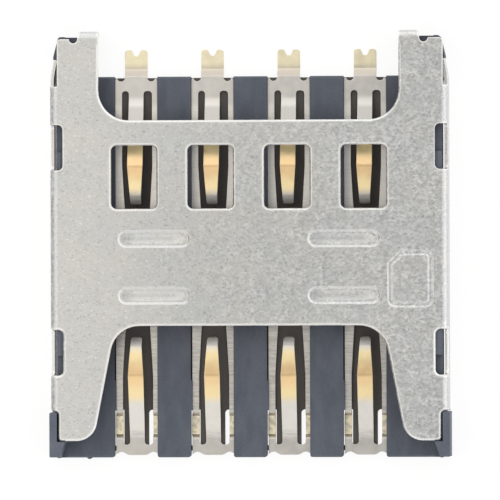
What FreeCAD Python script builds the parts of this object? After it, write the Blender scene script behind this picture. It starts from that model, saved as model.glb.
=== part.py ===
import FreeCAD, Part
import math
import os

# Card socket for a 15 x 12 mm card with eight contacts, soldered flat on a board.
# Frame of the part: the board is the plane z = 0 and z points up off it.
# The card goes in along +y, x runs across it, and the origin is under the middle of the part.
# All sizes are in millimetres.

Vector = FreeCAD.Vector

# The card
card_width = 12.0
card_thickness = 0.76

# Where the contacts touch the card
contact_pitch = 2.54
contacts_per_row = 4
row_spacing = 6.98

# Lengths along the card's path, from the entry face to the rear tabs
gate_proud = 0.05
entry_to_front_row = 2.71
rear_row_to_floor_edge = 2.965
ear_length = 1.315
tab_gap = 0.05

# Sheets and heights
shell_sheet = 0.12
contact_sheet = 0.12
standoff = 0.05
floor_thickness = 0.37
web_thickness = 0.10
card_headroom = 0.10

# Widths across the card's path
card_side_clearance = 0.13
side_wall = 0.27
shell_gap = 0.08
post_overhang = 0.05
contact_clearance = 0.01

# Shell: bends, arms and legs
bend_inner_radius = 0.13
arm_margin = 0.465
right_arm_rim = 0.09
arm_cut_radius = 1.0
plate_edge_behind_row = 1.50
arm_slit_behind_row = 2.63
tongue_length = 0.88
tongue_inset = 0.12
tongue_drop = 0.30
tongue_gap = 0.02
tongue_bend_radius = 2.00
mouth_margin = 0.63
mouth_edge_behind_row = 1.67
mouth_flare = 11.0
mouth_radius = 0.96
leg_radius = 1.10
leg_corner = 0.12
leg_from_entry = 0.575
wall_from_entry = 1.545
wall_foot = 0.10
solder_lug_length = 0.70
tab_width = 0.69
tab_taper = 0.08
tab_shoulder_radius = 0.15
relief_radius = 0.14
rollover = 0.05

# Shell: openings and pressed forms
window_margin = 0.05
window_behind_row = 0.67
window_before_row = 1.43
window_corner = 0.18
side_slot_length = 1.51
side_slot_reach = 0.43
side_slot_depth = 0.45
side_slot_corner = 0.17
rear_slot_behind_row = 0.605
front_slot_behind_row = 0.79
stiffener_length = 2.40
stiffener_width = 0.57
stiffener_depth = 0.05
stiffener_slope = 0.06
stiffener_x = 3.15
stiffener_spacing = 1.88

# Housing
ear_shoulder = 0.10
ear_narrowing = 0.17
ear_corner = 0.10
raised_wall_behind_front_row = 0.69
raised_wall_behind_rear_row = 0.45
raised_wall_step = 0.18
wall_rear_behind_row = 2.60
post_setback = 0.03
post_top_gap = 0.02
lead_in = 0.18
edge_break = 0.06
rib_end_radius = 0.10
ear_shoulder_radius = 0.30
pocket_room = 0.04
hold_down = 0.04
right_hold_down = 0.03
hold_down_from_row = 0.15
hold_down_length = 1.00
ear_setback = 0.12
web_rear_setback = 0.04
web_front_setback = 0.22
gate_radius = 0.11
gate_from_outer_contact = 1.59

# Contacts, measured from the crest of the beam, towards its root or towards its tip
frame_width = 1.41
left_strip_width = 0.23
right_strip_width = 0.18
frame_narrowing = 0.10
frame_to_tip = 2.05
frame_bar = 0.25
beam_root_width = 0.49
beam_crest_width = 0.515
beam_tip_width = 0.34
beam_rise = 0.68
beam_root_radius = 0.50
beam_crest_radius = 0.25
beam_back_radius = 2.50
beam_tip_radius = 0.30
back_length = 0.50
back_drop = 0.03
tip_from_crest = 1.30
tip_turn_length = 0.22
tip_turn_drop = 0.20
tip_drop = 0.50
slot_head = 0.12
blank_corner = 0.06
strip_bend_radius = 0.10
slot_end_radius = 0.11
rear_root = 2.49
rear_head = 2.91
tail_end = 3.86
tail_width = 0.75
tail_joggle = 0.24
tail_prong_width = 0.22
tail_notch_bottom = 0.12
tail_notch_depth = 0.20
tail_corner = 0.10
tail_scoop_radius = 0.13
tail_scoop_depth = 0.10
front_root = 2.29
front_head = 2.635
foot_start = 1.32
foot_end = 1.96
foot_joggle = 0.13
foot_room = 0.06
foot_widening = 0.02
left_window_gap = 0.03
right_window_gap = 0.145
window_rounding = 0.12
scallop_depth = 0.13
scallop_from_side = 0.17
scallop_width = 0.40
scallop_side_depth = 0.03
scallop_radius = 0.25

# Places that follow from the sizes above
overall_length = (gate_proud + entry_to_front_row + row_spacing + rear_row_to_floor_edge
                  + ear_length + tab_gap + shell_sheet)
y_front = -overall_length / 2 + gate_proud
y_front_row = y_front + entry_to_front_row
y_rear_row = y_front_row + row_spacing
y_floor_rear = y_rear_row + rear_row_to_floor_edge
y_ear = y_floor_rear + ear_length
y_tab = y_ear + tab_gap + shell_sheet

z_floor = standoff + floor_thickness
z_web = standoff + web_thickness
z_under_shell = z_floor + card_thickness + card_headroom
z_top = z_under_shell + shell_sheet
z_low_wall = z_under_shell - raised_wall_step

x_slot = card_width / 2 + card_side_clearance
x_wall = x_slot + side_wall
x_shell_inside = x_wall + shell_gap
x_shell = x_shell_inside + shell_sheet
x_post = x_shell + post_overhang

bend_outer_radius = bend_inner_radius + shell_sheet
bend_middle_radius = bend_inner_radius + shell_sheet / 2
x_flat = x_shell - bend_outer_radius
y_arm = y_tab - bend_outer_radius
x_outer_contact = contact_pitch * (contacts_per_row - 1) / 2
x_arm = x_outer_contact + frame_width / 2 + arm_margin
y_leg = y_front + leg_from_entry
y_wall_front = y_front + wall_from_entry
y_wall_rear = y_rear_row + wall_rear_behind_row
y_slit = y_rear_row + arm_slit_behind_row
y_mouth = y_front_row + mouth_edge_behind_row
y_plate_rear = y_rear_row + plate_edge_behind_row
y_tongue = y_slit + tongue_length
beyond = 2.0
hair = 1e-4


def contact_places():
    """The x of each contact in a row, from left to right."""
    first = -contact_pitch * (contacts_per_row - 1) / 2
    return [first + contact_pitch * i for i in range(contacts_per_row)]


def plan(u, v):
    """Seen from above."""
    return Vector(u, v, 0)


def from_side(u, v):
    """Seen along x: u runs along the card's path and v is the height."""
    return Vector(0, u, v)


def from_front(u, v):
    """Seen along y: u runs across the card's path and v is the height."""
    return Vector(u, 0, v)


def direction(a, b):
    length = math.hypot(b[0] - a[0], b[1] - a[1])
    return ((b[0] - a[0]) / length, (b[1] - a[1]) / length)


def turn_between(d_in, d_out):
    """The signed angle by which a path turns, positive to the left."""
    cross = d_in[0] * d_out[1] - d_in[1] * d_out[0]
    return math.atan2(cross, d_in[0] * d_out[0] + d_in[1] * d_out[1])


def rounded(corners, place):
    """A face from corners (u, v, radius). A radius is limited by the room beside its corner."""
    count = len(corners)
    ends = []
    for i in range(count):
        before = corners[i - 1]
        here = corners[i]
        after = corners[(i + 1) % count]
        d_in = direction(before, here)
        d_out = direction(here, after)
        half_turn = abs(turn_between(d_in, d_out)) / 2
        room = 0.49 * min(math.dist(before[:2], here[:2]), math.dist(here[:2], after[:2]))
        reach = min(here[2] * math.tan(half_turn), room)
        start = (here[0] - d_in[0] * reach, here[1] - d_in[1] * reach)
        end = (here[0] + d_out[0] * reach, here[1] + d_out[1] * reach)
        if reach > 1e-6:
            radius = reach / math.tan(half_turn)
            to_middle = radius / math.cos(half_turn) - radius
            inward = direction(here, ((start[0] + end[0]) / 2, (start[1] + end[1]) / 2))
            middle = (here[0] + inward[0] * to_middle, here[1] + inward[1] * to_middle)
            ends.append((start, middle, end))
        else:
            ends.append((start, None, start))
    edges = []
    for i in range(count):
        start, middle, end = ends[i]
        if middle:
            edges.append(Part.Arc(place(*start), place(*middle), place(*end)).toShape())
        following = ends[(i + 1) % count][0]
        if math.dist(end, following) > 1e-6:
            edges.append(Part.LineSegment(place(*end), place(*following)).toShape())
    return Part.Face(Part.Wire(edges))


def bent_sheet(path, radii, sheet, place):
    """The section of a bent sheet. The path is its middle line, with one middle radius a corner."""
    sides = []
    for offset in (sheet / 2, -sheet / 2):
        d_first = direction(path[0], path[1])
        here = (path[0][0] - d_first[1] * offset, path[0][1] + d_first[0] * offset)
        edges = []
        first = here
        for before, corner, after, radius in zip(path, path[1:], path[2:], radii):
            d_in = direction(before, corner)
            d_out = direction(corner, after)
            turn = turn_between(d_in, d_out)
            way = math.copysign(1, turn)
            reach = radius * math.tan(abs(turn) / 2)
            start = (corner[0] - d_in[0] * reach, corner[1] - d_in[1] * reach)
            end = (corner[0] + d_out[0] * reach, corner[1] + d_out[1] * reach)
            centre = (start[0] - d_in[1] * radius * way, start[1] + d_in[0] * radius * way)
            outward = direction(centre, corner)
            arc_radius = radius - offset * way
            p_start = (start[0] - d_in[1] * offset, start[1] + d_in[0] * offset)
            p_middle = (centre[0] + outward[0] * arc_radius, centre[1] + outward[1] * arc_radius)
            p_end = (end[0] - d_out[1] * offset, end[1] + d_out[0] * offset)
            edges.append(Part.LineSegment(place(*here), place(*p_start)).toShape())
            edges.append(Part.Arc(place(*p_start), place(*p_middle), place(*p_end)).toShape())
            here = p_end
        d_last = direction(path[-2], path[-1])
        last = (path[-1][0] - d_last[1] * offset, path[-1][1] + d_last[0] * offset)
        edges.append(Part.LineSegment(place(*here), place(*last)).toShape())
        sides.append((edges, first, last))
    left, right = sides
    caps = [Part.LineSegment(place(*left[2]), place(*right[2])).toShape(),
            Part.LineSegment(place(*right[1]), place(*left[1])).toShape()]
    return Part.Face(Part.Wire(left[0] + [caps[0]] + right[0][::-1] + [caps[1]]))


def upright(corners, low, high):
    """A solid with a plan outline, between two heights."""
    face = rounded(corners, plan)
    face.translate(Vector(0, 0, low))
    return face.extrude(Vector(0, 0, high - low))


def across(face, left, right):
    """A section seen from the side, drawn out from one x to another."""
    face.translate(Vector(left, 0, 0))
    return face.extrude(Vector(right - left, 0, 0))


def along(face, start, end):
    """A section seen from the front, drawn out from one y to another."""
    face.translate(Vector(0, start, 0))
    return face.extrude(Vector(0, end - start, 0))


def block(x0, x1, y0, y1, z0, z1):
    return Part.makeBox(x1 - x0, y1 - y0, z1 - z0, Vector(x0, y0, z0))


def mirrored(shape):
    return shape.mirror(Vector(0, 0, 0), Vector(1, 0, 0))


def on_both_sides(shapes):
    return shapes + [mirrored(shape) for shape in shapes]


def floor():
    """The bottom of the moulding: the slab under the card, the two walled ears and the corner posts."""
    slab = block(-x_wall, x_wall, y_front, y_floor_rear, standoff, z_floor)
    x_inner = x_arm + ear_setback
    outside = [(x_wall, y_wall_rear, 0), (x_wall + ear_shoulder, y_tongue, 0),
               (x_wall + ear_shoulder, y_tongue + ear_corner, ear_shoulder_radius),
               (x_wall + ear_shoulder - ear_narrowing, y_ear, ear_corner)]
    ear = upright([(x_inner, y_wall_rear, 0)] + outside + [(x_inner, y_ear, ear_corner / 2)],
                  standoff, z_floor)
    ear_wall = upright([(x_slot, y_wall_rear, 0)] + outside + [(x_slot, y_ear, 0)], z_floor, z_low_wall)
    post = block(x_wall, x_post, y_front + post_setback, y_wall_front - post_setback, standoff, z_floor)
    return slab.fuse(on_both_sides([ear, ear_wall, post]))


def tongue_pocket():
    """Room beside the ear, in which the rear end of the shell's side wall can turn inwards."""
    x_start = x_shell_inside - tongue_gap
    y_end = y_tongue + tongue_gap
    return upright([(x_start, y_wall_rear, 0), (x_start - tongue_inset, y_end, 0),
                    (x_shell + beyond, y_end, 0), (x_shell + beyond, y_wall_rear, 0)], 0, z_top)


def wall_section(top):
    """The section of a side wall up to the shell, with its outer corner cut back to clear the bend."""
    return rounded([(x_slot, z_floor, 0), (x_wall, z_floor, 0), (x_wall, top - bend_inner_radius, 0),
                    (x_wall - bend_inner_radius, top, 0), (x_slot, top, 0)], from_front)


def side_wall_right():
    """The right-hand wall: low at both ends, up to the shell in its middle and under the shell's leg."""
    low = block(x_slot, x_wall, y_front, y_wall_rear, z_floor, z_low_wall)
    raised = along(wall_section(z_under_shell), y_front_row + raised_wall_behind_front_row,
                   y_rear_row + raised_wall_behind_rear_row)
    under_leg = along(wall_section(z_under_shell), y_front + post_setback, y_wall_front)
    return low.fuse([raised, under_leg])


def corner_post():
    """The post beside the shell's leg and the block in front of it, up to the top of the shell."""
    top = z_top - post_top_gap
    y_block = y_leg - post_setback
    y0 = y_front + post_setback
    y1 = y_wall_front - post_setback
    cut = edge_break / 2
    corners = [(x_slot, y0, 0), (x_post - cut, y0, 0), (x_post, y0 + cut, 0), (x_post, y1 - cut, 0),
               (x_post - cut, y1, 0), (x_wall, y1, 0), (x_wall, y_block, 0), (x_slot, y_block, 0)]
    post = upright(corners, standoff, top)
    rim = [edge for edge in post.Edges
           if edge.BoundBox.ZMin > top - hair and edge.BoundBox.XMax > x_wall + hair]
    return post.makeChamfer(cut, rim)


def lead_in_wedge():
    """What is cut from a post's inner face so that the card finds its way in."""
    return upright([(x_slot - edge_break, y_leg - post_setback, 0), (x_slot, y_leg - post_setback, 0),
                    (x_slot + lead_in, y_front + post_setback, 0), (x_slot + lead_in, y_front - beyond, 0),
                    (x_slot - edge_break, y_front - beyond, 0)], z_floor, z_top)


def front_pocket(x):
    """The open slot in the floor for one front contact, with the openings under its solder feet."""
    left = x - frame_width / 2 - pocket_room
    right = x + frame_width / 2 + contact_clearance
    y_end = y_front_row + frame_to_tip + contact_clearance
    y_foot = y_front_row - foot_start + foot_joggle + foot_room
    wide = right + foot_widening
    y_web = y_front + web_front_setback
    pocket = block(left, right, y_front - beyond, y_end, z_web, z_floor)
    feet = block(left, wide, y_front - beyond, y_foot, z_web, z_floor)
    mouth = block(left, wide, y_front - beyond, y_web, 0, z_floor)
    y_window = y_front_row - front_root - left_window_gap
    left_window_edge = x - frame_width / 2 + left_strip_width + left_window_gap
    right_window_edge = x + frame_width / 2 - right_strip_width - right_window_gap
    left_window = block(left, left_window_edge, y_window, y_foot, 0, z_web)
    right_window = upright([(right_window_edge, y_window, 0), (wide, y_window, 0), (wide, y_foot, 0),
                            (right_window_edge, y_foot, window_rounding)], 0, z_web)
    return pocket.fuse([feet, mouth, left_window, right_window])


def rear_pocket(x):
    """The open slot in the floor for one rear contact."""
    half = frame_width / 2 + contact_clearance
    y_end = y_rear_row - frame_to_tip - contact_clearance
    pocket = block(x - half, x + half, y_end, y_floor_rear + beyond, z_web, z_floor)
    mouth = block(x - half, x + half, y_floor_rear - web_rear_setback, y_floor_rear + beyond, 0, z_floor)
    return pocket.fuse(mouth)


def hold_downs(x):
    """The lips that hold a front contact's frame down: one on the left, one all along the right."""
    x_left = x - frame_width / 2 - pocket_room
    x_right = x + frame_width / 2 + contact_clearance + foot_widening
    y_left = y_front_row - hold_down_from_row
    y_right = y_front_row + frame_to_tip
    low = z_web + contact_sheet + contact_clearance
    reach = right_hold_down + foot_widening
    left = block(x_left, x_left + hold_down, y_left - hold_down_length, y_left, low, z_floor)
    right = upright([(x_right - reach, y_right, 0), (x_right - reach, y_front, rib_end_radius),
                     (x_right + rib_end_radius, y_front, 0), (x_right + rib_end_radius, y_right, 0)],
                    low, z_floor)
    return [left, right]


def upright_edges(shape, y, z_low, z_high):
    """The upright edges of a shape that stand at one y, between two heights."""
    found = []
    for edge in shape.Edges:
        box = edge.BoundBox
        if box.XLength < hair and box.YLength < hair and abs(box.YMin - y) < hair:
            if box.ZMin > z_low - hair and box.ZMax < z_high + hair:
                found.append(edge)
    return found


def card_edge(y, way):
    """What is cut from the floor's top edge at the entry or at the rear, so that a card slides over it."""
    outside = y - way * edge_break
    inside = y + way * edge_break
    section = rounded([(outside, z_floor + edge_break, 0), (outside, z_floor - 2 * edge_break, 0),
                       (inside, z_floor, 0), (inside, z_floor + edge_break, 0)], from_side)
    return across(section, -x_slot, x_slot)


def housing():
    slab = floor()
    for x in contact_places():
        slab = slab.cut(front_pocket(x).fuse(rear_pocket(x)))
    inner = [edge for edge in upright_edges(slab, y_front, standoff, z_floor)
             if abs(edge.BoundBox.XMin) < x_outer_contact + frame_width]
    slab = slab.makeFillet(rib_end_radius, inner)
    lips = [lip for x in contact_places() for lip in hold_downs(x)]
    slab = slab.fuse(lips)
    slab = slab.cut([card_edge(y_front, 1), card_edge(y_floor_rear, -1)])
    walls = on_both_sides([side_wall_right(), corner_post()])
    x_gate = -(x_outer_contact + gate_from_outer_contact)
    y_gate = y_front - gate_proud + gate_radius
    gate = Part.makeCylinder(gate_radius, web_thickness * 2, Vector(x_gate, y_gate, z_web))
    body = slab.fuse(walls + [gate])
    body = body.cut(on_both_sides([lead_in_wedge(), tongue_pocket()]))
    return body.removeSplitter()


def outline_beyond_legs():
    """Everything in front of the shell's edge: the mouth, the flared legs and what lies beyond them."""
    flare = math.tan(math.radians(mouth_flare))
    x_mouth = x_outer_contact + mouth_margin
    x_leg = x_mouth + (y_mouth - y_leg) * flare
    right = [(x_shell + beyond, y_wall_front, 0), (x_flat, y_wall_front, leg_corner),
             (x_flat, y_leg, leg_corner), (x_leg, y_leg, leg_radius), (x_mouth, y_mouth, mouth_radius)]
    left = [(-u, v, radius) for u, v, radius in right[::-1]]
    far = y_front - beyond
    return right + left + [(-x_shell - beyond, far, 0), (x_shell + beyond, far, 0)]


def outline_between_arms():
    return [(-x_arm, y_tab + beyond, 0), (-x_arm, y_plate_rear, arm_cut_radius),
            (x_arm, y_plate_rear, arm_cut_radius), (x_arm, y_tab + beyond, 0)]


def outline_beside_arm(rim):
    """What is cut away outside an arm, behind the slit that frees it from the side wall."""
    inner = x_arm + tab_width + 2 * relief_radius
    outer = x_flat + rim
    return [(x_shell + beyond, y_slit, 0), (outer, y_slit, 0), (outer, y_arm, leg_corner),
            (inner, y_arm, 0), (inner, y_arm + beyond, 0), (x_shell + beyond, y_arm + beyond, 0)]


def windows():
    half = frame_width / 2 + window_margin
    y0 = y_rear_row - window_before_row
    y1 = y_rear_row + window_behind_row
    found = []
    for x in contact_places():
        corners = [(x - half, y0, window_corner), (x + half, y0, window_corner),
                   (x + half, y1, window_corner), (x - half, y1, window_corner)]
        found.append(upright(corners, z_floor, z_top + beyond))
    return found


def side_slot(y_middle):
    """A hole through the right-hand bend, rounded in plan and in the side view."""
    y0 = y_middle - side_slot_length / 2
    y1 = y_middle + side_slot_length / 2
    x0 = x_shell - side_slot_reach
    low = z_top - side_slot_depth
    above = upright([(x0, y0, side_slot_corner), (x_shell + beyond, y0, 0), (x_shell + beyond, y1, 0),
                     (x0, y1, side_slot_corner)], z_floor, z_top + beyond)
    side = rounded([(y0, low, side_slot_corner), (y1, low, side_slot_corner), (y1, z_top + beyond, 0),
                    (y0, z_top + beyond, 0)], from_side)
    return above.common(across(side, x_flat - beyond, x_shell + beyond))


def obround(x, y, length, width, z):
    """A rib's outline, with half round ends."""
    half = length / 2
    corners = [(x - half, y - width / 2, width / 2), (x + half, y - width / 2, width / 2),
               (x + half, y + width / 2, width / 2), (x - half, y + width / 2, width / 2)]
    face = rounded(corners, plan)
    face.translate(Vector(0, 0, z))
    return face.OuterWire


def octagon(x, y, length, width, z):
    """A rib's outline where it is hidden, with its ends cut back in flats."""
    half = length / 2
    flat = width / 2 * math.tan(math.pi / 8)
    end = half - width / 2 + flat
    right = [(x + end, y - width / 2, 0), (x + half, y - flat, 0), (x + half, y + flat, 0),
             (x + end, y + width / 2, 0)]
    left = [(2 * x - u, v, 0) for u, v, radius in right[::-1]]
    face = rounded(right + left, plan)
    face.translate(Vector(0, 0, z))
    return face.OuterWire


def pressed(x, y, z, margin, outline):
    """The tapered body between a stiffening rib's rim and its bottom, widened by a margin."""
    rim = outline(x, y, stiffener_length + 2 * margin, stiffener_width + 2 * margin, z)
    inset = stiffener_slope - margin
    bottom = outline(x, y, stiffener_length - 2 * inset, stiffener_width - 2 * inset, z - stiffener_depth)
    return Part.makeLoft([rim, bottom], True, True)


def stiffeners():
    y_middle = (y_rear_row - window_before_row + y_mouth) / 2
    places = []
    for x in (-stiffener_x, stiffener_x):
        for y in (y_middle - stiffener_spacing / 2, y_middle + stiffener_spacing / 2):
            places.append((x, y))
    return places


def rear_tab():
    """The end of an arm, bent down to the board. It is soldered there and stops the card."""
    y_middle = y_tab - shell_sheet / 2
    z_middle = z_top - shell_sheet / 2
    path = [(y_arm - bend_middle_radius, z_middle), (y_middle, z_middle), (y_middle, 0)]
    bent = across(bent_sheet(path, [bend_middle_radius], shell_sheet, from_side), x_arm, x_arm + tab_width)
    knee = z_top - bend_outer_radius
    x_outer = x_arm + tab_width
    taper = rounded([(x_arm, z_top + beyond, 0), (x_arm, knee, 0), (x_arm + tab_taper, 0, 0),
                     (x_outer - tab_taper, 0, 0), (x_outer - tab_taper, knee, tab_shoulder_radius),
                     (x_outer, z_top, 0), (x_outer, z_top + beyond, 0)], from_front)
    return bent.common(along(taper, y_arm - beyond, y_tab + beyond))


def tongue():
    """The rear end of a side wall, free of the arm and turned inwards over its length."""
    x_middle = x_shell - shell_sheet / 2
    y_turn = y_slit + tongue_length / 3
    path = [(x_middle, y_slit - tongue_length / 4), (x_middle, y_turn), (x_middle - tongue_inset, y_tongue)]
    section = bent_sheet(path, [tongue_bend_radius], shell_sheet, plan)
    section.translate(Vector(0, 0, wall_foot))
    return section.extrude(Vector(0, 0, z_top - tongue_drop - wall_foot))


def rolled_edges(shape):
    """The cut edges of the shell's top face round the windows, the mouth and the room between the arms."""
    found = []
    for edge in shape.Edges:
        box = edge.BoundBox
        if box.ZMin > z_top - hair:
            reach = max(abs(box.XMin), abs(box.XMax))
            bend_line = box.XLength < hair and abs(reach - x_flat) < hair
            if not bend_line and (box.YMax < y_mouth + hair or reach < x_arm + hair):
                found.append(edge)
    return found


def shell():
    x_middle = x_shell - shell_sheet / 2
    z_middle = z_top - shell_sheet / 2
    path = [(-x_middle, wall_foot), (-x_middle, z_middle), (x_middle, z_middle), (x_middle, wall_foot)]
    section = bent_sheet(path, [bend_middle_radius] * 2, shell_sheet, from_front)
    body = along(section, y_leg, y_arm)
    low = 0
    high = z_top + beyond
    body = body.cut([upright(outline_beyond_legs(), low, high), upright(outline_between_arms(), low, high)])
    relief = Part.makeCylinder(relief_radius, high, Vector(x_arm + tab_width + relief_radius, y_arm, 0))
    openings = windows()
    for y in (y_rear_row + rear_slot_behind_row, y_front_row + front_slot_behind_row):
        openings += on_both_sides([side_slot(y)])
    openings += on_both_sides([relief])
    openings += [upright(outline_beside_arm(right_arm_rim), low, high)]
    openings += [mirrored(upright(outline_beside_arm(0), low, high))]
    body = body.cut(openings).removeSplitter()
    body = body.makeChamfer(rollover, rolled_edges(body))
    lugs = []
    for y in (y_wall_front, y_slit - solder_lug_length):
        lugs.append(block(x_shell_inside, x_shell, y, y + solder_lug_length, 0, wall_foot))
    body = body.fuse(on_both_sides([rear_tab(), tongue()] + lugs))
    for x, y in stiffeners():
        body = body.fuse(pressed(x, y, z_under_shell, stiffener_slope / 2, octagon))
        body = body.cut(pressed(x, y, z_top, 0, obround))
    return body.removeSplitter()


def contact_opening(root):
    """The opening in a contact's frame around its beam, as plan outlines."""
    neck = root - slot_head
    beam = beam_root_width / 2
    bar = frame_bar - frame_to_tip
    left = left_strip_width - frame_width / 2
    right = frame_width / 2 - right_strip_width
    openings = []
    for side, inner in ((-1, left), (1, right)):
        openings.append([(side * beam, neck - slot_head, 0), (inner, neck - slot_head, 0),
                         (inner, root, slot_end_radius), (side * beam, root, slot_end_radius)])
    openings.append([(left, neck, 0), (left, 0, 0), (left + frame_narrowing, bar, 0),
                     (right - frame_narrowing, bar, 0), (right, 0, 0), (right, neck, 0)])
    return openings


def beam(root):
    """The spring beam: up from the frame, over the crest that touches the card, and down to the tip."""
    z_frame = z_web + contact_sheet / 2
    neck = root - slot_head
    z_crest = z_frame + beam_rise
    y_turn = -tip_from_crest + tip_turn_length
    path = [(root, z_frame), (neck - slot_head, z_frame), (0, z_crest), (-back_length, z_crest - back_drop),
            (y_turn, z_crest - tip_turn_drop), (-tip_from_crest, z_crest - tip_drop)]
    radii = [beam_root_radius, beam_crest_radius, beam_back_radius, beam_tip_radius]
    bent = across(bent_sheet(path, radii, contact_sheet, from_side), -frame_width / 2, frame_width / 2)
    tip = beam_tip_width / 2
    right = [(beam_root_width / 2, root, 0), (beam_crest_width / 2, 0, 0),
             (tip, blank_corner - tip_from_crest, 0), (tip - blank_corner, -tip_from_crest, 0)]
    corners = right + [(-u, v, radius) for u, v, radius in right[::-1]]
    return bent.common(upright(corners, 0, z_top))


def strip(path, radii, outline, openings, cuts):
    """A contact's frame: the bent strip, trimmed to its plan outline, with its opening and cuts."""
    bent = across(bent_sheet(path, radii, contact_sheet, from_side), -frame_width, frame_width)
    body = bent.common(upright(outline, 0, z_top))
    return body.cut([upright(corners, 0, z_top) for corners in openings] + cuts)


def rear_contact():
    """A rear contact at x = 0 with its crest at y = 0 and its tail towards +y."""
    half = frame_width / 2
    z_frame = z_web + contact_sheet / 2
    z_foot = contact_sheet / 2
    joggle = rear_head + blank_corner
    path = [(-frame_to_tip, z_frame), (joggle, z_frame), (joggle + tail_joggle, z_foot), (tail_end, z_foot)]
    tail = tail_width / 2
    notch = tail - tail_prong_width
    bottom = tail_notch_bottom / 2
    right = [(half, -frame_to_tip, 0), (half, rear_head, blank_corner), (tail, rear_head, 0),
             (tail, tail_end, tail_corner), (notch, tail_end, 0),
             (bottom, tail_end - tail_notch_depth, bottom)]
    outline = right + [(-u, v, radius) for u, v, radius in right[::-1]]
    scoops = []
    y_scoop = rear_head + tail_scoop_radius - tail_scoop_depth
    for side in (-1, 1):
        centre = Vector(side * (tail + tail_scoop_radius), y_scoop, 0)
        scoops.append(Part.makeCylinder(tail_scoop_radius, z_top, centre))
    frame = strip(path, [strip_bend_radius] * 2, outline, contact_opening(rear_root), scoops)
    return frame.fuse(beam(rear_root)).removeSplitter()


def front_contact():
    """A front contact at x = 0 with its crest at y = 0. It is built like a rear one and turned round."""
    half = frame_width / 2
    z_frame = z_web + contact_sheet / 2
    z_foot = contact_sheet / 2
    path = [(-frame_to_tip, z_frame), (foot_start - foot_joggle, z_frame), (foot_start, z_foot),
            (foot_end, z_foot), (foot_end + foot_joggle, z_frame), (front_head + beyond, z_frame)]
    wide = half + foot_widening
    right = [(half, -frame_to_tip, 0), (half, foot_start - foot_joggle / 2, 0), (wide, foot_start, 0),
             (wide, foot_end, 0), (half, foot_end + foot_joggle / 2, 0),
             (half, front_head - scallop_side_depth, 0),
             (half - scallop_from_side, front_head - scallop_depth, scallop_radius),
             (half - scallop_width, front_head, scallop_radius)]
    outline = right + [(-u, v, radius) for u, v, radius in right[::-1]]
    frame = strip(path, [strip_bend_radius] * 4, outline, contact_opening(front_root), [])
    body = frame.fuse(beam(front_root)).removeSplitter()
    return body.mirror(Vector(0, 0, 0), Vector(0, 1, 0))


def write(name, shape):
    solids = shape.Solids
    print(name, len(solids), "solid,", round(shape.Volume, 4), "mm3, valid:", shape.isValid())
    result = solids[0] if len(solids) == 1 else shape
    result.exportStep(os.path.join("parts", name + ".step"))


def main():
    os.makedirs("parts", exist_ok=True)
    write("housing", housing())
    write("shell", shell())
    for kind, shape, y in (("rear", rear_contact(), y_rear_row), ("front", front_contact(), y_front_row)):
        for number, x in enumerate(contact_places(), 1):
            placed = shape.copy()
            placed.translate(Vector(x, y, 0))
            write(f"{kind}_contact_{number}", placed)


main()
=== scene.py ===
# %% [markdown]
# # A small card socket, dressed for its portrait
# The object is a socket that holds a phone's subscriber card on a circuit board. It is 13 mm wide:
# a dark moulded floor, eight sprung contacts lying in its slots, and a thin steel shell over them.
# The solid model already has every piece at its real size, so this lesson is about looks alone:
# how a camera, a floor, a few lamps and some layered materials turn plain solids into metal and
# moulding that a person would take for the real thing.

# %% Load the solid pieces
import math

import bpy
from mathutils import Matrix, Vector


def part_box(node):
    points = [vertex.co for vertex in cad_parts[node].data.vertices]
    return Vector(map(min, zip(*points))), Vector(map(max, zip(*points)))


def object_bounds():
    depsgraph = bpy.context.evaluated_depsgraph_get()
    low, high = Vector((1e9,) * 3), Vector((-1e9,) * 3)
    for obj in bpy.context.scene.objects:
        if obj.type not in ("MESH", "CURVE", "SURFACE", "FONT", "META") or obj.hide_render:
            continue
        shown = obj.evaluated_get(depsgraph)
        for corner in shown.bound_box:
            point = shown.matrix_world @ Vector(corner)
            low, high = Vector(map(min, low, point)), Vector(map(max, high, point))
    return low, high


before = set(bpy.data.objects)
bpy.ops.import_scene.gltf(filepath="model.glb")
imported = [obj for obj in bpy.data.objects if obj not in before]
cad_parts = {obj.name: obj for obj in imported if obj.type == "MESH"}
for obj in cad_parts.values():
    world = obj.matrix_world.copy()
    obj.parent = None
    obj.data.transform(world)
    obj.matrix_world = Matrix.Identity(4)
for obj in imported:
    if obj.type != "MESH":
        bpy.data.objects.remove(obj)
mm = 0.001
solid_low, solid_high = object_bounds()

# %% [markdown]
# ## The camera
# The picture was taken from above with a long lens: both side walls show nearly the same, and a
# high edge slides only a little against a low one. That little slide gives the lean. A point one
# millimetre higher lies two pixels further left, so the camera leans four degrees to the right.
# An orthographic camera would give the same flat look, but a very long lens does too, and it keeps
# working when the camera is moved round the part.

# %% Place the camera
lean = math.radians(4.0)
roll = math.radians(0.22)
camera_distance = 250 * mm
frame_width = 16.54 * mm
target = Vector((0.045 * mm, -0.162 * mm, solid_high.z))

camera_data = bpy.data.cameras.new("camera")
camera_data.lens = camera_data.sensor_width * camera_distance / frame_width
camera_data.clip_start = 1 * mm
camera_data.clip_end = 10
camera = bpy.data.objects.new("camera", camera_data)
bpy.context.scene.collection.objects.link(camera)
bpy.context.scene.camera = camera

backwards = Vector((math.sin(lean), 0, math.cos(lean)))
upwards = Vector((math.sin(roll), math.cos(roll), 0))
sideways = upwards.cross(backwards).normalized()
upwards = backwards.cross(sideways)
camera.rotation_mode = "QUATERNION"
camera.location = target + backwards * camera_distance
axes = (sideways, upwards, backwards)
turn = [[axis[row] for axis in axes] for row in range(3)]
camera.rotation_quaternion = Matrix(turn).to_quaternion()
print("lens", round(camera_data.lens), "mm, frame", round(frame_width / mm, 2), "mm wide")

# %% [markdown]
# ## The view settings
# Film-like transforms bend colours and lift greys. A product picture wants a colour to come out as
# it was written, so the plain transform is used and nothing else is touched.

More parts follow.
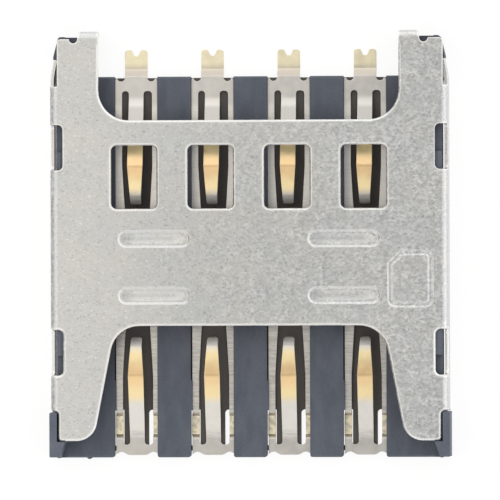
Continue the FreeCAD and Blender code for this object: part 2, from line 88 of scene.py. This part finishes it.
# %% Set the view
bpy.context.scene.view_settings.view_transform = "Standard"
print("view transform:", bpy.context.scene.view_settings.view_transform)

# %% [markdown]
# ## Building materials out of nodes
# A finish is a small graph: coordinates feed textures, textures feed masks, and masks mix colours,
# roughness and height. Writing each node out in full hides the idea, so these helpers add one node
# and join its inputs in a single line. An input may be a number, a colour or another node's output.
# The sky and the floor need only this much, and the pieces get a fuller set of tools further down.

# %% Write node graphs one call at a time
class Graph:
    """A node tree that is written one call at a time."""

    def __init__(self, tree):
        self.tree = tree

    def node(self, kind, inputs=(), output=0, **settings):
        """Adds a node, sets it up, feeds its inputs and gives back one output."""
        made = self.tree.nodes.new(kind)
        for key, value in settings.items():
            setattr(made, key, value)
        for key, value in dict(inputs).items():
            if isinstance(value, bpy.types.NodeSocket):
                self.tree.links.new(value, made.inputs[key])
            else:
                made.inputs[key].default_value = value
        return made.outputs[output]

    def maths(self, operation, a, b=0.0):
        """Arithmetic on one or two numbers."""
        return self.node("ShaderNodeMath", {0: a, 1: b}, operation=operation)

    def product(self, first, *others):
        """Several masks or numbers multiplied together."""
        for other in others:
            first = self.maths("MULTIPLY", first, other)
        return first

    def ramp(self, value, start, end, low=0.0, high=1.0):
        """A smooth step from low to high while the value goes from start to end."""
        inputs = {"Value": value, "From Min": start, "From Max": end, "To Min": low, "To Max": high}
        return self.node("ShaderNodeMapRange", inputs, interpolation_type="SMOOTHSTEP")

    def band(self, value, start, end, soft):
        """One between two places and zero outside them, with soft ends."""
        rise = self.ramp(value, start - soft, start + soft)
        fall = self.ramp(value, end - soft, end + soft, 1.0, 0.0)
        return self.product(rise, fall)

    def vector(self, operation, a, b=(0, 0, 0)):
        """Vector arithmetic, which gives a number for a length or a dot product."""
        output = "Value" if operation in ("LENGTH", "DOT_PRODUCT") else "Vector"
        return self.node("ShaderNodeVectorMath", {0: a, 1: b}, output=output, operation=operation)


print("a graph can be written now")

# %% [markdown]
# ## The table top
# The socket lies on a white sheet. A curved backdrop would do as well, but from straight above one
# flat square is enough, if it is far wider than the picture. It lies a hair below the solder feet,
# because two faces in one plane would flicker.

# %% Lay the floor
floor_half = 400 * mm
floor_drop = 0.002 * mm

floor_mesh = bpy.data.meshes.new("floor")
corners = [(-floor_half, -floor_half, 0), (floor_half, -floor_half, 0),
           (floor_half, floor_half, 0), (-floor_half, floor_half, 0)]
floor_mesh.from_pydata(corners, [], [(0, 1, 2, 3)])
floor = bpy.data.objects.new("floor", floor_mesh)
floor.location.z = -floor_drop
bpy.context.scene.collection.objects.link(floor)
print("floor", round(2 * floor_half / mm), "mm square")

# %% [markdown]
# ## White paper
# In the picture the sheet is nearly pure white, with a soft shadow round the part. A diffuse sheet
# comes out grey, and one that glows enough to look white throws too much light back up. So it is
# lit as plain paper, and what the camera and the reflections see is lifted part of the way to white.

# %% Give the floor its paper
paper = 0.86
glow_strength = 1.04
lift = 0.86

floor_material = bpy.data.materials.new("white paper")
floor_material.use_nodes = True
floor_graph = Graph(floor_material.node_tree)
floor_material.node_tree.nodes.clear()
seen = [floor_graph.node("ShaderNodeLightPath", output=kind)
        for kind in ("Is Camera Ray", "Is Glossy Ray", "Is Transmission Ray")]
seen_directly = floor_graph.maths("MAXIMUM", seen[0], seen[1])
seen_directly = floor_graph.maths("MAXIMUM", seen_directly, seen[2])
matt = floor_graph.node("ShaderNodeBsdfDiffuse", {"Color": (paper, paper, paper, 1)})
glow = floor_graph.node("ShaderNodeEmission", {"Color": (1, 1, 1, 1), "Strength": glow_strength})
share = floor_graph.product(seen_directly, lift)
surface = floor_graph.node("ShaderNodeMixShader", {0: share, 1: matt, 2: glow})
end = floor_material.node_tree.nodes.new("ShaderNodeOutputMaterial")
floor_material.node_tree.links.new(surface, end.inputs["Surface"])
floor_mesh.materials.append(floor_material)
print("paper reflects", paper, "and looks", lift, "of the way to white")

# %% [markdown]
# ## The light
# Metal looks like what it mirrors. In the picture the flat top of the shell is a middling grey while
# its rounded edges are nearly white, so straight overhead there is less light than all round the
# sides, as in a white tent with a hole for the camera. The sky is built in three levels: the hole,
# the slope of the tent round it and its walls. The right and the far side are a little brighter, as
# if a window stood there: slopes that face that way catch more light than those that face away.
# A picture of a studio could light it too, but three levels are easier to adjust. Heights on the
# sky run from zero at the horizon to one overhead.

# %% Light the tent
hole_light = 0.49
slope_light = 0.98
wall_light = 1.35
hole_height = 0.98
slope_height = 0.80
wall_height = 0.75
window_pull = 0.14
tent_white = (1.0, 0.995, 0.985, 1)

world = bpy.data.worlds.new("tent")
bpy.context.scene.world = world
world.use_nodes = True
tent = Graph(world.node_tree)
look = tent.node("ShaderNodeTexCoord", output="Generated")
height = tent.node("ShaderNodeSeparateXYZ", {0: look}, output="Z")
above = tent.ramp(height, slope_height, hole_height, slope_light, hole_light)
around = tent.ramp(height, 0.0, wall_height, wall_light - slope_light, 0.0)
towards_window = tent.vector("DOT_PRODUCT", look, (window_pull, window_pull, 0))
window_side = tent.maths("ADD", towards_window, 1.0)
strength = tent.product(tent.maths("ADD", above, around), window_side)
background = world.node_tree.nodes["Background"]
background.inputs["Color"].default_value = tent_white
world.node_tree.links.new(strength, background.inputs["Strength"])
print("tent:", hole_light, "above,", slope_light, "on the slope,", wall_light, "on the walls")

# %% [markdown]
# ## One warm panel
# The left third of the shell is brighter and warmer than the rest. A flat mirror seen from far away
# shows one spot of the sky all over, so such a change means that something bright hangs close by
# with its edge over the part. It is a soft panel, which the camera looks past.

# %% Hang the panel
panel_edge = -6.5 * mm
panel_width = 40 * mm
panel_length = 120 * mm
panel_height = 60 * mm
panel_radiance = 0.54
panel_colour = (1.0, 0.93, 0.81)

lamp_data = bpy.data.lights.new("left panel", "AREA")
lamp_data.shape = "RECTANGLE"
lamp_data.size = panel_width
lamp_data.size_y = panel_length
lamp_data.energy = panel_radiance * math.pi * panel_width * panel_length
lamp_data.color = panel_colour
lamp = bpy.data.objects.new("left panel", lamp_data)
lamp.location = (panel_edge - panel_width / 2, 0, panel_height)
lamp.visible_camera = False
bpy.context.scene.collection.objects.link(lamp)
print("panel power", round(lamp_data.energy * 1000, 1), "mW")

# %% [markdown]
# ## Tools for a piece's surface
# Real surfaces are never one even colour. Pictures wrapped round a piece can show that, but they
# need unwrapping and blur close to. Noise read at the point's own place in metres needs neither: it
# stays sharp, and a size written in millimetres is its real size on the part.

# %% Add noise, colour and relief to the graph
class Surface(Graph):
    """A graph that also knows places, colours, noise and relief."""

    def place(self, scale=(1, 1, 1)):
        """The point on the object, in metres times a scale for each direction."""
        point = self.node("ShaderNodeTexCoord", output="Object")
        return self.node("ShaderNodeMapping", {"Vector": point, "Scale": scale})

    def coordinate(self, axis):
        """How far along one axis the point is, in metres."""
        return self.node("ShaderNodeSeparateXYZ", {0: self.place()}, output=axis)

    def noise(self, place, size, detail=2.0, roughness=0.5):
        """Cloudy noise whose lumps are about this size, in metres."""
        inputs = {"Vector": place, "Scale": 1 / size, "Detail": detail, "Roughness": roughness}
        return self.node("ShaderNodeTexNoise", inputs, output="Fac")

    def vary(self, noise, low, high):
        """Spreads a noise, nearly all of which lies between 0.3 and 0.7, from low to high."""
        return self.ramp(noise, 0.3, 0.7, low, high)

    def bump(self, height, distance, strength=1.0, **inputs):
        """A normal tilted by the slope of a height, for relief too fine to be modelled."""
        inputs.update(Height=height, Distance=distance, Strength=strength)
        return self.node("ShaderNodeBump", inputs)

    def mix(self, share, first, second):
        """A colour between two others."""
        inputs = {"Factor": share, 6: first, 7: second}
        return self.node("ShaderNodeMix", inputs, output=2, data_type="RGBA")

    def tint(self, colour, level):
        """A colour made darker or lighter by a level near one."""
        grey = self.node("ShaderNodeCombineColor", {0: level, 1: level, 2: level})
        inputs = {"Factor": 1.0, 6: colour, 7: grey}
        return self.node("ShaderNodeMix", inputs, output=2, data_type="RGBA", blend_type="MULTIPLY")


print("surface tools ready")

# %% [markdown]
# ## Starting a finish
# Every finish here ends in the same all-purpose shader, which can be plastic or metal. A new one
# comes with its graph. What varies over the surface is joined to a socket of the shader, and what
# is the same all over is set on the socket as a plain value.

# %% Start a finish and feed its shader
def new_finish(name):
    """An empty material, its graph and its shader."""
    material = bpy.data.materials.new(name)
    material.use_nodes = True
    graph = Surface(material.node_tree)
    shader = material.node_tree.nodes["Principled BSDF"]
    return material, graph, shader


def feed(graph, shader, **inputs):
    """Joins outputs to the shader's sockets, or sets plain values on them."""
    for key, value in inputs.items():
        socket = shader.inputs[key.replace("_", " ").title()]
        if isinstance(value, bpy.types.NodeSocket):
            graph.tree.links.new(value, socket)
        else:
            socket.default_value = value


print("a finish is one graph and one shader")

# %% [markdown]
# ## Moulded plastic
# The floor is moulded from a glass filled liquid crystal polymer, slate grey and matt. Close to, it
# has faint flow marks along the way the melt ran, and tiny glass ends that catch the light. A flat
# grey would look like paint, so two noises vary the grey and a fine one roughens the surface. The
# thin bottoms of the slots get painted shade, darker and browner, and the tops of the two posts get
# a painted highlight that makes them paler.

# %% Make the slate plastic
dark_slate = (0.068, 0.079, 0.106, 1)
pale_slate = (0.093, 0.106, 0.136, 1)
slot_bottom_shade_slate = (0.082, 0.073, 0.068, 1)
slate_roughness = (0.48, 0.62)
flow_size = 0.5 * mm
flow_stretch = (1, 0.35, 1)
grit_size = 0.045 * mm
grit_depth = 0.002 * mm
grit_strength = 0.6
slot_bottom = 0.15 * mm
slot_fade = 0.05 * mm
post_top = solid_high.z - 0.06 * mm
post_fade = 0.06 * mm
post_top_highlight = 1.3

slate, graph, shader = new_finish("slate moulding")
flow = graph.noise(graph.place(flow_stretch), flow_size, 4, 0.6)
grit = graph.noise(graph.place(), grit_size)
level = graph.coordinate("Z")
above_slots = graph.ramp(level, slot_bottom, slot_bottom + slot_fade)
colour = graph.mix(graph.vary(flow, 0, 1), dark_slate, pale_slate)
# Painted shade: the thin slot bottoms are darker and browner.
colour = graph.mix(above_slots, slot_bottom_shade_slate, colour)
colour = graph.tint(colour, graph.vary(grit, 0.90, 1.10))
# Painted highlight: the tops of the two posts are paler.
colour = graph.tint(colour, graph.ramp(level, post_top - post_fade, post_top, 1.0, post_top_highlight))
feed(graph, shader, base_color=colour, roughness=graph.vary(grit, *slate_roughness),
     normal=graph.bump(grit, grit_depth, grit_strength))
print("slate plastic, grit of", round(grit_size / mm, 3), "mm")

# %% [markdown]
# ## Pressed forms in the steel
# On the right the shell carries a small sign that shows which way the card goes in: the outline of
# a card with one corner cut off. A punch presses it in as a shallow groove. Both slopes of the
# groove mirror the bright walls and its bottom mirrors the darker hole, so it reads as two bright
# lines. It needs no mesh: its height follows from the distance to a rounded box, and the cut corner
# is the distance to a slanted line. The four stiffening ribs are in the solid with a flat bottom. A
# punch leaves them a little dished, and the same trick adds that: the distance to a rib's middle
# line, folded over both axes so that one formula serves all four. Lengths along the rib count less,
# so the dish runs out gently towards the rib's ends.

# %% Work out the groove and the dished ribs
sign_middle = Vector((5.35, -1.12, 0)) * mm
sign_half = Vector((0.74, 0.93, 0)) * mm
sign_round = 0.25 * mm
sign_cut = 0.42 * mm
groove_width = 0.14 * mm
groove_slope = 0.035 * mm
rib_middle = Vector((0, -0.725, 0)) * mm
rib_offset = Vector((3.15, 0.94, 0)) * mm
rib_straight = Vector((0.24, 0, 0)) * mm
rib_half_width = 0.225 * mm
along_rib = 0.4


def distance_to_core(graph, offset, core):
    """How far a point is from a flat box round the origin."""
    away = graph.vector("SUBTRACT", graph.vector("ABSOLUTE", offset), core)
    return graph.vector("LENGTH", graph.vector("MAXIMUM", away, (0, 0, 0)))


def card_sign(graph):
    """One in the bottom of the groove and zero outside it, with sloping sides."""
    offset = graph.vector("SUBTRACT", graph.place((1, 1, 0)), sign_middle)
    core = sign_half - Vector((sign_round, sign_round, 0))
    slant = Vector((-1, 1, 0)).normalized()
    cut_reach = (sign_half.x + sign_half.y - sign_cut) / math.sqrt(2)
    along_slant = graph.vector("DOT_PRODUCT", offset, slant)
    past_cut = graph.maths("ADD", along_slant, sign_round - cut_reach)
    outline = graph.maths("MAXIMUM", distance_to_core(graph, offset, core), past_cut)
    return graph.band(outline, sign_round - groove_width, sign_round, groove_slope)


def distance_to_rib(graph):
    """How far a point is from the middle line of the nearest rib, less so along the rib."""
    offset = graph.vector("SUBTRACT", graph.place((1, 1, 0)), rib_middle)
    folded = graph.vector("SUBTRACT", graph.vector("ABSOLUTE", offset), rib_offset)
    squeezed = graph.vector("MULTIPLY", folded, (along_rib, 1, 1))
    return distance_to_core(graph, squeezed, rib_straight)


print("the sign is", [round(2 * half / mm, 2) for half in sign_half.xy], "mm")

# %% [markdown]
# ## The grain of rolled steel
# The shell is punched from thin strip. Rolling leaves a skin of tiny pits, a little longer across
# the strip than along it, and handling rubs the left side smooth. The grain is stronger in some
# patches than in others, and the punch has ironed it flatter in the four ribs. All this goes into
# one number, how rough the sheet is, which scales the grain's height as well as its tone. The grain
# could be a picture of real steel, but that would repeat on a sheet this plain, and noise doesn't.

# %% Grow the steel's grain
grain_size = 0.085 * mm
grain_stretch = (0.75, 1, 1)
patch_size = 0.45 * mm
patch_levels = (0.5, 1.6)
rubbed_side = -5.0 * mm
rubbed_level = 0.32
rough_side = 4.0 * mm
rough_level = 1.1
dish_edge = 0.4
ironed_level = 0.4

steel, graph, shader = new_finish("rolled steel")
from_rib = distance_to_rib(graph)
dish = graph.ramp(from_rib, 0, rib_half_width, 1, 0)
ironed = graph.ramp(dish, 0, dish_edge, 1.0, ironed_level)
grain = graph.noise(graph.place(grain_stretch), grain_size, 4, 0.65)
patches = graph.noise(graph.place(), patch_size)
across = graph.ramp(graph.coordinate("X"), rubbed_side, rough_side, rubbed_level, rough_level)
rough = graph.product(across, graph.vary(patches, *patch_levels), ironed)
print("grain of", round(grain_size / mm, 3), "mm")

# %% [markdown]
# ## The colour of the sheet
# On metal most of the grain has to come from the height, which turns the reflection, and only a few
# percent from the colour. To that come bright and dark specks, faint warm and cool clouds that keep
# the sheet from looking printed, a painted shade that makes the middle a little darker than the
# corners, and ribs that the punch has polished.

# %% Colour the sheet
warm_steel = (0.68, 0.682, 0.668, 1)
cool_steel = (0.65, 0.663, 0.665, 1)
cloud_size = 1.3 * mm
grain_tone = 0.13
polished_tone = 0.06
fleck_size = 0.055 * mm
fleck_stretch = (0.7, 1, 1)
bright_fleck = 0.22
dark_fleck = 0.25
middle_shade_level = 0.94
middle_shade_reach = 1.5 * mm
middle_shade_end = 6 * mm

fleck = graph.noise(graph.place(fleck_stretch), fleck_size, 1)
bright_flecks = graph.ramp(fleck, 0.64, 0.74, 0, bright_fleck)
dark_flecks = graph.ramp(fleck, 0.36, 0.28, 0, dark_fleck)
tone = graph.product(graph.vary(grain, -grain_tone, grain_tone), rough)
tone = graph.maths("SUBTRACT", graph.maths("ADD", tone, bright_flecks), dark_flecks)
tone = graph.maths("ADD", tone, graph.ramp(dish, 0, dish_edge, 0, polished_tone))
cloud = graph.noise(graph.place(), cloud_size, 3)
from_middle = graph.vector("LENGTH", graph.place((1, 1, 0)))
sheet = graph.mix(graph.ramp(cloud, 0.35, 0.65), warm_steel, cool_steel)
sheet = graph.tint(sheet, graph.maths("ADD", tone, 1.0))
# Painted shade: the middle of the sheet is darker than the corners.
sheet = graph.tint(sheet, graph.ramp(from_middle, middle_shade_reach, middle_shade_end, middle_shade_level, 1.0))
print("sheet between", warm_steel[:3], "and", cool_steel[:3])

# %% [markdown]
# ## Painted highlights on the rims and painted shade on the left bend
# Punching rolls every cut edge over, and the rolled edge catches the light as a bright line round
# each window. A tiny rounding on every edge would cost many faces. The bevel node turns the normal
# near an edge instead, and where it has turned, a painted highlight makes the sheet brighter. Most
# of that is held back round the ribs, whose bends are softer. The left bend gets a darker, broken
# line of painted shade, which a slope, a height and a noise give together.

# %% Mark the rims and the bend
rim_highlight_white = (0.93, 0.92, 0.90, 1)
bend_shade_grey = (0.22, 0.21, 0.20, 1)
rim_width = 0.09 * mm
rib_margin = 0.45 * mm
rib_margin_fade = 0.05 * mm
rim_at_ribs = 0.3
bend_low = solid_high.z - 0.33 * mm
bend_high = solid_high.z - 0.20 * mm
bend_shade_size = 0.09 * mm
bend_shade_stretch = (1, 0.6, 1)
bend_shade_levels = (0.25, 0.75)


def rounded_normal(graph, radius):
    """A normal that turns smoothly round every sharp edge."""
    return graph.node("ShaderNodeBevel", {"Radius": radius}, samples=6)


def edge_mask(graph, rounded, start, end):
    """Zero on a flat face, and one where the rounded normal has turned away from it far enough."""
    flat = graph.node("ShaderNodeNewGeometry", output="True Normal")
    return graph.ramp(graph.vector("DOT_PRODUCT", rounded, flat), start, end)


rim_highlight = edge_mask(graph, rounded_normal(graph, rim_width), 1.0, 0.97)
off_rib = graph.ramp(from_rib, rib_margin, rib_margin + rib_margin_fade, rim_at_ribs, 1.0)
# Painted highlight: the sheet is brighter where the rounded normal has turned at an edge.
sheet = graph.mix(graph.product(rim_highlight, off_rib), sheet, rim_highlight_white)
facing = graph.node("ShaderNodeNewGeometry", output="Normal")
to_the_left = graph.ramp(graph.vector("DOT_PRODUCT", facing, (-1, 0, 0)), 0.35, 0.6)
on_bend = graph.ramp(graph.coordinate("Z"), bend_low, bend_high)
broken_bend_shade = graph.vary(graph.noise(graph.place(bend_shade_stretch), bend_shade_size), *bend_shade_levels)
# Painted shade: a dark broken line on the left bend, where it faces left.
sheet = graph.mix(graph.product(to_the_left, on_bend, broken_bend_shade), sheet, bend_shade_grey)
print("rims", round(rim_width / mm, 2), "mm wide")

# %% [markdown]
# ## Relief on the sheet
# The sheet's forms and its skin differ in depth by a factor of five, so one bump for both would be
# hard to adjust. Three reliefs are stacked instead, each on top of the normal of the one before: the
# rounded edges first, then the pressed groove and the dishes, whose distance is negative because
# they are sunk, and last the grain.

# %% Put the relief on and finish the steel
edge_radius = 0.04 * mm
press_depth = 0.04 * mm
dish_share = 0.75
grain_depth = 0.008 * mm
steel_roughness = (0.30, 0.40)

turned = rounded_normal(graph, edge_radius)
pressed = graph.maths("ADD", card_sign(graph), graph.product(dish, dish_share))
sunk = graph.bump(pressed, -press_depth, Normal=turned)
relief = graph.bump(graph.product(grain, rough), grain_depth, Normal=sunk)
feed(graph, shader, base_color=sheet, metallic=1.0,
     roughness=graph.vary(grain, *steel_roughness), normal=relief)
print("rolled steel, forms pressed", round(press_depth / mm, 2), "mm deep")

# %% [markdown]
# ## Plated contacts
# The contacts are copper alloy under satin nickel. Gold is dear, so it is flashed only where it is
# needed: on the beam round the point that touches the card, and on the ends that are soldered. Each
# zone could be painted by hand on eight contacts. Instead the masks follow the contact's own shape,
# which is measured from the mesh: the crest is its highest point, and the beam is what stands above
# the frame.

# %% Measure where the gold lies
def crest(node):
    """The highest point of a contact."""
    points = [vertex.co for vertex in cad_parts[node].data.vertices]
    return max(points, key=lambda point: point.z)


rear_crest = crest("rear_contact_1").y
front_crest = crest("front_contact_1").y
rear_tail_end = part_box("rear_contact_1")[1].y
print("crests at", round(rear_crest / mm, 2), "and", round(front_crest / mm, 2), "mm")

# %% [markdown]
# ## The frame and the beam
# The frame is plain nickel, with lines along the way it was rolled, and a painted shade, darker
# and browner, where it steps down to the board. The beam is nickel too, and gold within reach of
# the crest. The flash is rosiest at the crest and yellower away from it, and a painted shade marks
# the bend there. Both functions take the distance from the crest, counted positive towards the
# beam's tip.

# %% Colour the frame and the beam
nickel = (0.70, 0.68, 0.645, 1)
step_shade_nickel = (0.57, 0.52, 0.45, 1)
rose_gold = (0.93, 0.68, 0.38, 1)
yellow_gold = (0.96, 0.79, 0.46, 1)
crease_shade_colour = (0.62, 0.40, 0.19, 1)
frame_height = 0.27 * mm
step_fade = 0.02 * mm
head_end = -2.2 * mm
head_fade = 0.3 * mm
rose_reach = 0.15 * mm
yellow_reach = 0.60 * mm
gold_reach = 0.84 * mm
gold_fade = 0.20 * mm
crease_half = 0.02 * mm
crease_fade = 0.04 * mm
crease_share = 0.5


def frame_colour(graph, along, height, drawn, light_and_line_levels):
    """Nickel with drawn lines, painted light levels on the head and strips, and painted shade on the
    step.
    """
    # Painted light and shade: the head and strip levels make them lighter or darker as their light
    # falls.
    lines = graph.vary(drawn, light_and_line_levels["strips"] - light_and_line_levels["lines"], light_and_line_levels["strips"] + light_and_line_levels["lines"])
    strips = graph.ramp(along, head_end, head_end + head_fade)
    drawn_and_lit = graph.mix(strips, graph.tint(nickel, light_and_line_levels["head"]), graph.tint(nickel, lines))
    # Painted shade: darker and browner where the frame steps down to the board.
    step_shade = graph.ramp(height, frame_height, frame_height - step_fade)
    return graph.mix(step_shade, drawn_and_lit, step_shade_nickel)


def beam_colour(graph, along, light_and_line_levels):
    """Nickel with gold on both sides of the crest and a painted shade on the crease."""
    away = graph.maths("ABSOLUTE", along)
    gold = graph.mix(graph.ramp(away, rose_reach, yellow_reach), rose_gold, yellow_gold)
    flashed = graph.band(along, -gold_reach, gold_reach, gold_fade)
    # Painted light and shade: the beam and gold levels differ between the rows.
    beam = graph.mix(flashed, graph.tint(nickel, light_and_line_levels["beam"]), graph.tint(gold, light_and_line_levels["gold"]))
    # Painted shade: a dark band across the crease at the crest.
    crease_shade = graph.band(along, -crease_half, crease_half, crease_fade)
    return graph.mix(graph.product(crease_shade, crease_share), beam, crease_shade_colour)


print("gold reaches", round(gold_reach / mm, 2), "mm to each side of the crest")

# %% [markdown]
# ## The soldered ends
# The ends that are soldered carry a paler flash. On a rear tail it fades in along the tail, so a
# place along the part is enough to tell where it lies. On the front feet it is thin and patchy and
# covers what lies near the board, so there a height and a noise tell it.

# %% Mark the soldered ends
pale_gold = (0.97, 0.89, 0.65, 1)
tail_flash_start = rear_tail_end - 0.76 * mm
tail_flash_full = rear_tail_end - 0.40 * mm
foot_top = 0.15 * mm
foot_fade = 0.025 * mm
thin_spot_size = 0.16 * mm
thin_spot_level = 0.25


def tail_flash(graph):
    """The share of pale gold along a rear contact's tail."""
    return graph.ramp(graph.coordinate("Y"), tail_flash_start, tail_flash_full)


def foot_flash(graph):
    """The share of pale gold on a front contact's feet, with thin spots."""
    near_board = graph.ramp(graph.coordinate("Z"), foot_top - foot_fade, foot_top, 1.0, 0.0)
    spots = graph.noise(graph.place(), thin_spot_size)
    return graph.product(near_board, graph.ramp(spots, 0.35, 0.60, thin_spot_level, 1.0))


print("tails flashed from y =", round(tail_flash_start / mm, 2), "mm")

# %% [markdown]
# ## Putting the plating together
# Height tells the beam from the frame. The solder flash, a faint patchiness and painted highlights
# on the rims of the sheared edges lie over both. The tip is bent down out of the light, so it is
# left rougher and less like a mirror, and its very end is painted dark as painted shade. The front
# row lies in the open and the rear row under the shell, so each row gets its own levels: painted
# light and shade for its zones, and the strength of the drawn lines.

# %% Make the plating
tip_shade_colour = (0.20, 0.14, 0.10, 1)
plated_rim_highlight = (0.96, 0.94, 0.88, 1)
rim_radius = 0.022 * mm
rim_share = 0.7
beam_height = 0.35 * mm
beam_fade = 0.03 * mm
tip_start = 1.20 * mm
tip_fade = 0.08 * mm
turn_start = 0.90 * mm
turn_end = 1.08 * mm
turned_metal = 0.35
turned_roughness = 0.4
line_size = 0.05 * mm
line_stretch = (0.12, 1, 1)
line_depth = 0.0015 * mm
line_strength = 0.5
spot_size = 0.25 * mm
spot_tones = (0.97, 1.02)
plating_roughness = (0.32, 0.40)


def plating(name, crest_y, towards_tip, light_and_line_levels, solder_flash):
    """A finish for one row of contacts."""
    material, graph, shader = new_finish(name)
    height = graph.coordinate("Z")
    along = graph.product(graph.maths("SUBTRACT", graph.coordinate("Y"), crest_y), towards_tip)
    raised = graph.ramp(height, beam_height - beam_fade, beam_height + beam_fade)
    drawn = graph.noise(graph.place(line_stretch), line_size)
    spots = graph.noise(graph.place(), spot_size)
    turned = rounded_normal(graph, rim_radius)
    rim_highlight = edge_mask(graph, turned, 0.99, 0.85)
    colour = graph.mix(raised, frame_colour(graph, along, height, drawn, light_and_line_levels),
                       beam_colour(graph, along, light_and_line_levels))
    colour = graph.mix(solder_flash(graph), colour, pale_gold)
    colour = graph.tint(colour, graph.vary(spots, *spot_tones))
    # Painted highlight on the rims of the sheared edges.
    colour = graph.mix(graph.product(rim_highlight, rim_share), colour, plated_rim_highlight)
    # Painted shade: the very end of the tip is painted dark.
    tip_shade = graph.product(raised, graph.ramp(along, tip_start, tip_start + tip_fade))
    colour = graph.mix(tip_shade, colour, tip_shade_colour)
    turned_down = graph.product(raised, graph.ramp(along, turn_start, turn_end))
    satin = graph.vary(spots, *plating_roughness)
    roughness = graph.maths("ADD", satin, graph.product(turned_down, turned_roughness))
    metal = graph.ramp(turned_down, 0, 1, 1.0, turned_metal)
    lines = graph.bump(drawn, line_depth, line_strength, Normal=turned)
    feed(graph, shader, base_color=colour, metallic=metal, roughness=roughness, normal=lines)
    return material


# Painted light and shade for each row's zones, and the strength of the drawn lines.
rear_light_and_line_levels = {"beam": 0.84, "gold": 1.04, "head": 1.02, "strips": 1.26, "lines": 0.05}
front_light_and_line_levels = {"beam": 1.06, "gold": 0.94, "head": 0.90, "strips": 0.90, "lines": 0.13}
rear_plating = plating("rear plating", rear_crest, -1, rear_light_and_line_levels, tail_flash)
front_plating = plating("front plating", front_crest, 1, front_light_and_line_levels, foot_flash)
print("made", rear_plating.name, "and", front_plating.name)

# %% [markdown]
# ## Dressing the pieces
# Each solid keeps its place and gets one finish, which goes into every material slot of the piece.
# The record names three material slots, and the table lists the one each finish belongs to.

# %% Give every piece its finish
finishes = {"housing": (slate, "housing_plastic"), "shell": (steel, "shell_steel"),
            "rear_contact": (rear_plating, "contact_metal"),
            "front_contact": (front_plating, "contact_metal")}
for name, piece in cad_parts.items():
    material, slot = finishes[name.rstrip("_1234")]
    for material_slot in piece.material_slots:
        material_slot.material = material
    print(name, "wears", material.name)
